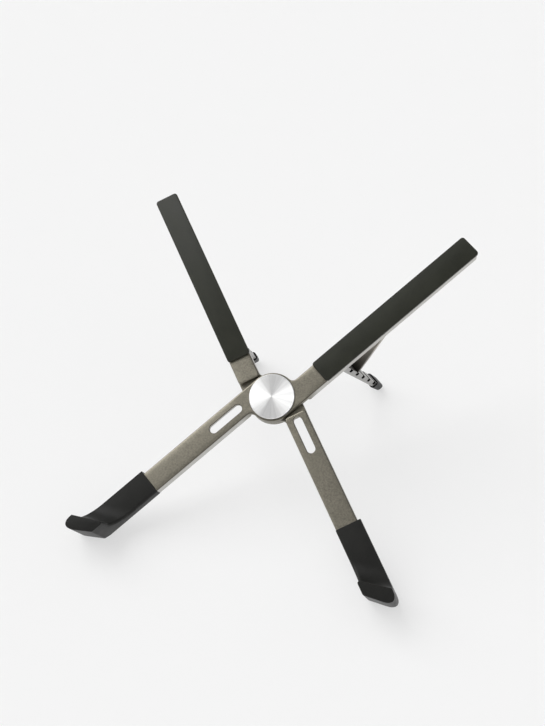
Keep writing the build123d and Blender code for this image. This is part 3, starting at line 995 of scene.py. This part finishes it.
class LAPTOPSTAND_OT_stage(bpy.types.Operator):
    """Pale floor, soft light and the camera."""

    bl_idname = "laptop_stand.stage"
    bl_label = "Stage"

    def execute(self, context):
        settings = context.scene.stand_stage
        self.floor(settings)
        self.lights(settings)
        self.camera(settings)
        context.scene.view_settings.view_transform = "Standard"
        return {"FINISHED"}

    def floor(self, settings):
        """Wide pale floor that turns up into a wall far round the stand."""
        flat = settings.floor_size / 2 - settings.cove
        loops = [ring_points(flat, 0.0, settings.cove_sides)]
        for rise, run in quarter_turn(settings.cove_steps):
            level = settings.cove * (1 - run)
            loops.append(ring_points(flat + settings.cove * rise, level, settings.cove_sides))
        builder = bmesh.new()
        rings = add_loops(builder, reversed(loops))
        builder.faces.new(rings[-1])
        smooth(builder, FLOOR_SHARP)
        floor = mesh_object("floor", builder, floor_finish(settings))
        floor.visible_shadow = False

    def lights(self, settings):
        """Even light from all round, a wide soft lamp from the left and a weak one from the front right."""
        world = bpy.data.worlds.new("studio")
        world.use_nodes = True
        background = world.node_tree.nodes["Background"]
        background.inputs["Color"].default_value = shade(WHITE)
        background.inputs["Strength"].default_value = settings.even_light
        bpy.context.scene.world = world
        self.lamp("key", settings.key_light, settings.lamp_angle, settings.key_direction)
        self.lamp("fill", settings.fill_light, settings.lamp_angle, settings.fill_direction)

    def lamp(self, name, energy, angle, direction):
        """Soft lamp far off, shining in a direction."""
        data = bpy.data.lights.new(name, "SUN")
        data.energy = energy
        data.angle = angle
        lamp = link_object(name, data)
        lamp.rotation_mode = "QUATERNION"
        lamp.rotation_quaternion = Vector(direction).to_track_quat("-Z", "Y")

    def camera(self, settings):
        """Camera in the deck's frame, above the front right."""
        data = bpy.data.cameras.new("camera")
        data.lens = settings.lens
        data.sensor_width = SENSOR_WIDTH
        data.clip_start = NEAREST_VIEW
        camera = link_object("camera", data)
        turn = Matrix.LocRotScale(Vector(settings.camera_place), settings.camera_turn, None)
        camera.matrix_world = DECK @ turn
        bpy.context.scene.camera = camera


class LAPTOPSTAND_PT_pieces(bpy.types.Panel):
    """The stand's pieces and stage, with their settings."""

    bl_idname = "LAPTOPSTAND_PT_pieces"
    bl_label = "Laptop Stand"
    bl_space_type = "VIEW_3D"
    bl_region_type = "UI"
    bl_category = "Laptop Stand"

    def draw(self, context):
        for operator, group in STEPS:
            box = self.layout.box()
            box.operator(operator.bl_idname)
            settings = getattr(context.scene, group)
            for name in type(settings).__annotations__:
                box.prop(settings, name)


GROUPS = {
    "stand_bars": StandBars,
    "stand_pivot": StandPivot,
    "stand_pads": StandPads,
    "stand_boots": StandBoots,
    "stand_legs": StandLegs,
    "stand_stage": StandStage,
}
STEPS = (
    (LAPTOPSTAND_OT_bars, "stand_bars"),
    (LAPTOPSTAND_OT_pivot, "stand_pivot"),
    (LAPTOPSTAND_OT_pads, "stand_pads"),
    (LAPTOPSTAND_OT_boots, "stand_boots"),
    (LAPTOPSTAND_OT_legs, "stand_legs"),
    (LAPTOPSTAND_OT_stage, "stand_stage"),
)


def register():
    """Adds the settings, the operators and the panel."""
    for name, group in GROUPS.items():
        bpy.utils.register_class(group)
        setattr(bpy.types.Scene, name, PointerProperty(type=group))
    for operator, _ in STEPS:
        bpy.utils.register_class(operator)
    bpy.utils.register_class(LAPTOPSTAND_PT_pieces)


def unregister():
    """Takes away what register added."""
    bpy.utils.unregister_class(LAPTOPSTAND_PT_pieces)
    for operator, _ in reversed(STEPS):
        bpy.utils.unregister_class(operator)
    for name, group in reversed(GROUPS.items()):
        delattr(bpy.types.Scene, name)
        bpy.utils.unregister_class(group)


def main():
    """Builds every piece and the stage."""
    register()
    bpy.ops.laptop_stand.bars()
    bpy.ops.laptop_stand.pivot()
    bpy.ops.laptop_stand.pads()
    bpy.ops.laptop_stand.boots()
    bpy.ops.laptop_stand.legs()
    bpy.ops.laptop_stand.stage()


if __name__ == "__main__":
    main()
